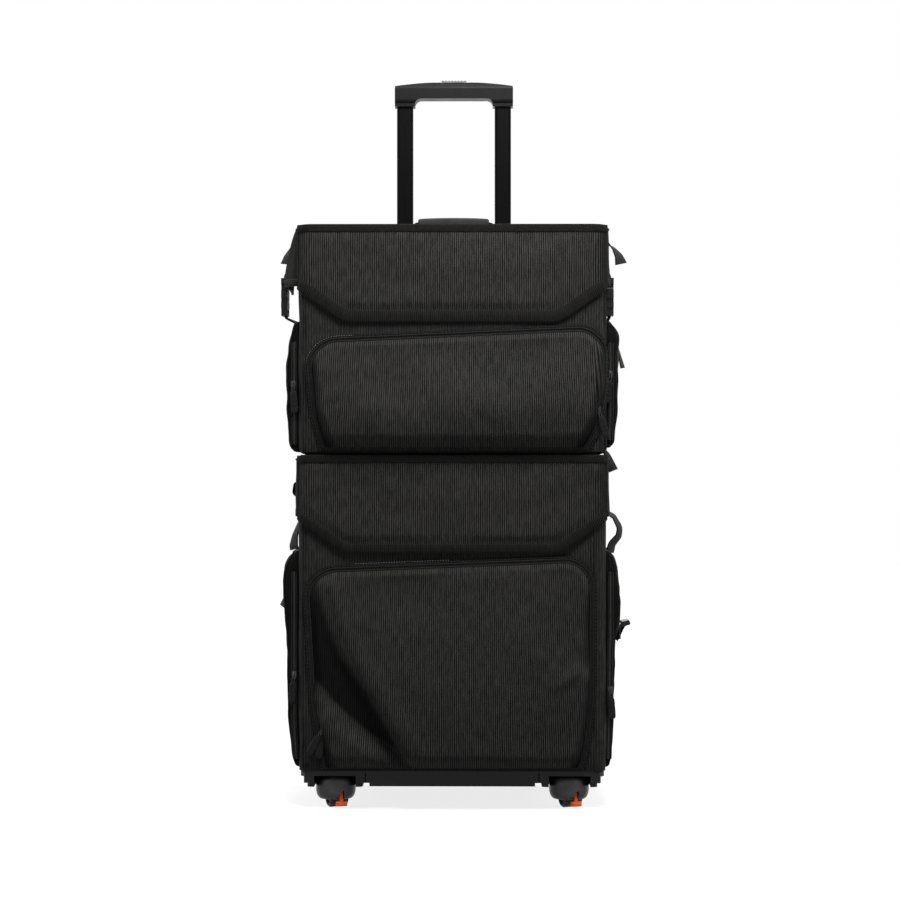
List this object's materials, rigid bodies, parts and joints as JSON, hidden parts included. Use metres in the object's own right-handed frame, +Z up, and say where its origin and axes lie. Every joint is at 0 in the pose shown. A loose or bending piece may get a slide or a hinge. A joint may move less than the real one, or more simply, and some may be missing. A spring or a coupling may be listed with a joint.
{
  "type": "rolling makeup case",
  "caption": "Soft-sided black rolling makeup case with a lift-off upper bag, front flaps and pockets, a telescopic handle and swivel casters.",
  "frame": {"origin": "on the floor under the middle of the case as it stands on its casters", "axes": "+Z up, -Y towards the front pockets, +X to the right seen from the front"},
  "size_m": [0.4282, 0.28, 0.907],
  "materials": {
    "nylon": "woven",
    "lining": "woven",
    "webbing": "woven",
    "zip_tape": "woven",
    "black_plastic": "satin",
    "buckle_plastic": "gloss",
    "orange_plastic": "satin",
    "grey_plastic": "satin",
    "grey_foam": "matt",
    "wheel_rubber": "matt",
    "dark_aluminium": "anodised",
    "bare_aluminium": "brushed",
    "steel": "plated",
    "slider_metal": "satin"
  },
  "bodies": {
    "trolley": {"base_tray": "black_plastic", "caster_mounts": "black_plastic", "lower_shell": "nylon", "lower_liner": "lining", "lower_side_pocket_left": "nylon", "lower_side_pocket_right": "nylon", "lower_front_zip": "zip_tape", "outer_tubes": "bare_aluminium", "tube_foot": "black_plastic", "handle_bezel": "black_plastic", "lower_strap_left": "webbing", "lower_strap_right": "webbing", "lower_buckle_right": "buckle_plastic"},
    "handle_lower": {"lower_tube": "bare_aluminium", "lower_tube_fittings": "black_plastic"},
    "handle_upper": {"upper_tube": "dark_aluminium", "upper_tube_plugs": "black_plastic", "grip_body": "black_plastic", "grip_cover": "black_plastic", "grip_screws": "steel"},
    "button": {"release_button": "grey_plastic", "lock_rods": "bare_aluminium"},
    "upper_bag": {"upper_shell": "nylon", "upper_liner": "lining", "upper_side_pocket_left": "nylon", "upper_side_pocket_right": "nylon", "upper_front_zip": "zip_tape", "trolley_sleeve": "nylon", "carry_brackets": "black_plastic", "upper_straps": "webbing", "upper_buckle_plugs": "buckle_plastic"},
    "carry_handle": {"carry_strap": "webbing", "carry_grip": "grey_foam"},
    "top_lid": {"upper_lid": "nylon", "upper_lid_straps": "webbing", "upper_buckle_sockets": "buckle_plastic"},
    "top_drop": {"upper_drop": "nylon"},
    "middle_lid": {"lower_lid": "nylon"},
    "middle_drop": {"lower_drop": "nylon"},
    "pocket_upper": {"upper_pocket": "nylon"},
    "pocket_lower": {"lower_pocket": "nylon"},
    "slider_upper_left_body": {"slider_upper_left": "slider_metal"},
    "slider_upper_right_body": {"slider_upper_right": "slider_metal"},
    "slider_lower_left_body": {"slider_lower_left": "slider_metal"},
    "slider_lower_right_body": {"slider_lower_right": "slider_metal"},
    "slider_upper_front_body": {"slider_upper_front": "slider_metal"},
    "slider_lower_front_body": {"slider_lower_front": "slider_metal"},
    "swivel_fl": {"caster_hood_fl": "black_plastic"},
    "wheels_fl": {"caster_wheels_fl": "wheel_rubber"},
    "brake_fl": {"caster_brake_fl": "orange_plastic"},
    "swivel_fr": {"caster_hood_fr": "black_plastic"},
    "wheels_fr": {"caster_wheels_fr": "wheel_rubber"},
    "brake_fr": {"caster_brake_fr": "orange_plastic"},
    "swivel_bl": {"caster_hood_bl": "black_plastic"},
    "wheels_bl": {"caster_wheels_bl": "wheel_rubber"},
    "brake_bl": {"caster_brake_bl": "orange_plastic"},
    "swivel_br": {"caster_hood_br": "black_plastic"},
    "wheels_br": {"caster_wheels_br": "wheel_rubber"},
    "brake_br": {"caster_brake_br": "orange_plastic"}
  },
  "joints": [
    {"name": "handle_stage_1", "type": "slide", "parent": "trolley", "child": "handle_lower", "axis": [0, 0, 1], "range_m": [-0.138, 0.162]},
    {"name": "handle_stage_2", "type": "slide", "parent": "handle_lower", "child": "handle_upper", "axis": [0, 0, 1], "range_m": [-0.3, 0]},
    {"name": "release_button", "type": "slide", "parent": "handle_upper", "child": "button", "axis": [0, 0, 1], "range_m": [-0.003, 0], "stiffness_N_per_m": 800, "springref_m": 0.004},
    {"name": "upper_bag_lift", "type": "slide", "parent": "trolley", "child": "upper_bag", "axis": [0, 0, 1], "range_m": [0, 0.48]},
    {"name": "carry_handle_lift", "type": "slide", "parent": "upper_bag", "child": "carry_handle", "axis": [0, 0, 1], "range_m": [0, 0.004]},
    {"name": "upper_lid_hinge", "type": "hinge", "parent": "upper_bag", "child": "top_lid", "pos_m": [0, 0.05, 0.702], "axis": [-1, 0, 0], "range_deg": [0, 90]},
    {"name": "upper_drop_hinge", "type": "hinge", "parent": "top_lid", "child": "top_drop", "pos_m": [0, -0.1143, 0.702], "axis": [-1, 0, 0], "range_deg": [0, 90]},
    {"name": "lower_lid_hinge", "type": "hinge", "parent": "trolley", "child": "middle_lid", "pos_m": [0, 0.092, 0.425], "axis": [-1, 0, 0], "range_deg": [0, 90]},
    {"name": "lower_drop_hinge", "type": "hinge", "parent": "middle_lid", "child": "middle_drop", "pos_m": [0, -0.1143, 0.425], "axis": [-1, 0, 0], "range_deg": [0, 90]},
    {"name": "upper_pocket_hinge", "type": "hinge", "parent": "upper_bag", "child": "pocket_upper", "pos_m": [0, -0.1103, 0.434], "axis": [1, 0, 0], "range_deg": [0, 60]},
    {"name": "lower_pocket_hinge", "type": "hinge", "parent": "trolley", "child": "pocket_lower", "pos_m": [0, -0.1103, 0.051], "axis": [1, 0, 0], "range_deg": [0, 80]},
    {"name": "slider_upper_left_travel", "type": "slide", "parent": "upper_bag", "child": "slider_upper_left_body", "axis": [0, 0, 1], "range_m": [-0.035, 0.055]},
    {"name": "slider_upper_right_travel", "type": "slide", "parent": "upper_bag", "child": "slider_upper_right_body", "axis": [0, 0, 1], "range_m": [-0.045, 0.045]},
    {"name": "slider_lower_left_travel", "type": "slide", "parent": "trolley", "child": "slider_lower_left_body", "axis": [0, 0, 1], "range_m": [-0.065, 0.12]},
    {"name": "slider_lower_right_travel", "type": "slide", "parent": "trolley", "child": "slider_lower_right_body", "axis": [0, 0, 1], "range_m": [-0.05, 0.14]},
    {"name": "slider_upper_front_travel", "type": "slide", "parent": "upper_bag", "child": "slider_upper_front_body", "axis": [0.243, 0, 0.97], "range_m": [0, 0.045]},
    {"name": "slider_lower_front_travel", "type": "slide", "parent": "trolley", "child": "slider_lower_front_body", "axis": [-0.1028, 0, 0.9947], "range_m": [0, 0.15]},
    {"name": "swivel_fl_turn", "type": "hinge", "parent": "trolley", "child": "swivel_fl", "pos_m": [-0.141, -0.08494, 0.013], "axis": [0, 0, 1], "continuous": true},
    {"name": "wheels_fl_spin", "type": "hinge", "parent": "swivel_fl", "child": "wheels_fl", "pos_m": [-0.13969, -0.08819, 0.013], "axis": [0.9272, 0.3746, 0], "continuous": true},
    {"name": "brake_fl_lever", "type": "hinge", "parent": "swivel_fl", "child": "brake_fl", "pos_m": [-0.13481, -0.10026, 0.02393], "axis": [-0.9272, -0.3746, 0], "range_deg": [0, 15]},
    {"name": "swivel_fr_turn", "type": "hinge", "parent": "trolley", "child": "swivel_fr", "pos_m": [0.141, -0.08494, 0.013], "axis": [0, 0, 1], "continuous": true},
    {"name": "wheels_fr_spin", "type": "hinge", "parent": "swivel_fr", "child": "wheels_fr", "pos_m": [0.14231, -0.08819, 0.013], "axis": [0.9272, 0.3746, 0], "continuous": true},
    {"name": "brake_fr_lever", "type": "hinge", "parent": "swivel_fr", "child": "brake_fr", "pos_m": [0.14719, -0.10026, 0.02393], "axis": [-0.9272, -0.3746, 0], "range_deg": [0, 15]},
    {"name": "swivel_bl_turn", "type": "hinge", "parent": "trolley", "child": "swivel_bl", "pos_m": [-0.141, 0.10794, 0.013], "axis": [0, 0, 1], "continuous": true},
    {"name": "wheels_bl_spin", "type": "hinge", "parent": "swivel_bl", "child": "wheels_bl", "pos_m": [-0.13969, 0.1047, 0.013], "axis": [0.9272, 0.3746, 0], "continuous": true},
    {"name": "brake_bl_lever", "type": "hinge", "parent": "swivel_bl", "child": "brake_bl", "pos_m": [-0.13481, 0.09262, 0.02393], "axis": [-0.9272, -0.3746, 0], "range_deg": [0, 15]},
    {"name": "swivel_br_turn", "type": "hinge", "parent": "trolley", "child": "swivel_br", "pos_m": [0.141, 0.10794, 0.013], "axis": [0, 0, 1], "continuous": true},
    {"name": "wheels_br_spin", "type": "hinge", "parent": "swivel_br", "child": "wheels_br", "pos_m": [0.14231, 0.1047, 0.013], "axis": [0.9272, 0.3746, 0], "continuous": true},
    {"name": "brake_br_lever", "type": "hinge", "parent": "swivel_br", "child": "brake_br", "pos_m": [0.14719, 0.09262, 0.02393], "axis": [-0.9272, -0.3746, 0], "range_deg": [0, 15]}
  ],
  "couplings": [
    {"joint": "lower_lid_hinge", "follows": "upper_bag_lift", "rad_per_m": 3.2724}
  ]
}
